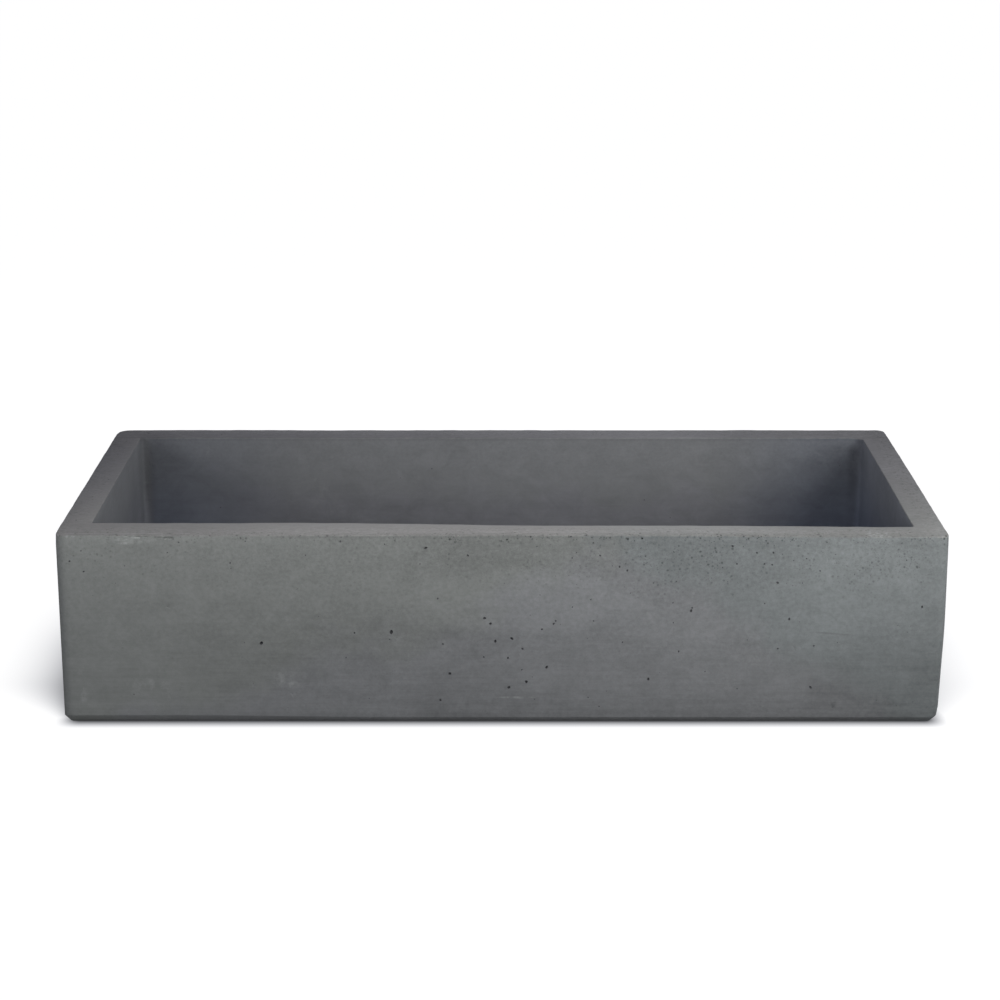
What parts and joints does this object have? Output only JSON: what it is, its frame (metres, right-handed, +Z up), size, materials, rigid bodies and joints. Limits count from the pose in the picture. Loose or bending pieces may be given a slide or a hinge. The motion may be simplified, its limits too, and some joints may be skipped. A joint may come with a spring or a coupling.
{
  "type": "trough sink",
  "caption": "Rectangular cast concrete trough sink with drafted walls, a floor that falls to the middle and a push-to-open basin waste.",
  "frame": {"origin": "centre of the base, on the surface that the trough stands on", "axes": "+X along the trough towards its right end, +Y towards its rear wall, +Z up"},
  "size_m": [0.9144, 0.4826, 0.2032],
  "materials": {
    "concrete": "cast, matt, with pinholes",
    "chrome": "polished plating on brass",
    "rubber": "matt",
    "nylon": "satin",
    "brass": "machined",
    "steel": "stainless, turned"
  },
  "bodies": {
    "trough": {"basin": "concrete", "waste_body": "chrome", "flange_gasket": "rubber", "cone_washer": "rubber", "slip_washer": "nylon", "lock_nut": "brass", "latch_housing": "brass", "latch_cap": "brass", "latch_spring": "steel"},
    "plug": {"latch_rotor": "steel", "latch_plunger": "steel", "stud_nut": "brass", "plug_stud": "steel", "plug_seal": "rubber", "plug_cap": "chrome"}
  },
  "joints": [
    {"name": "plug_press", "type": "slide", "parent": "trough", "child": "plug", "axis": [0, 0, 1], "range_m": [-0.009, 0], "deforming": ["latch_spring"]}
  ]
}
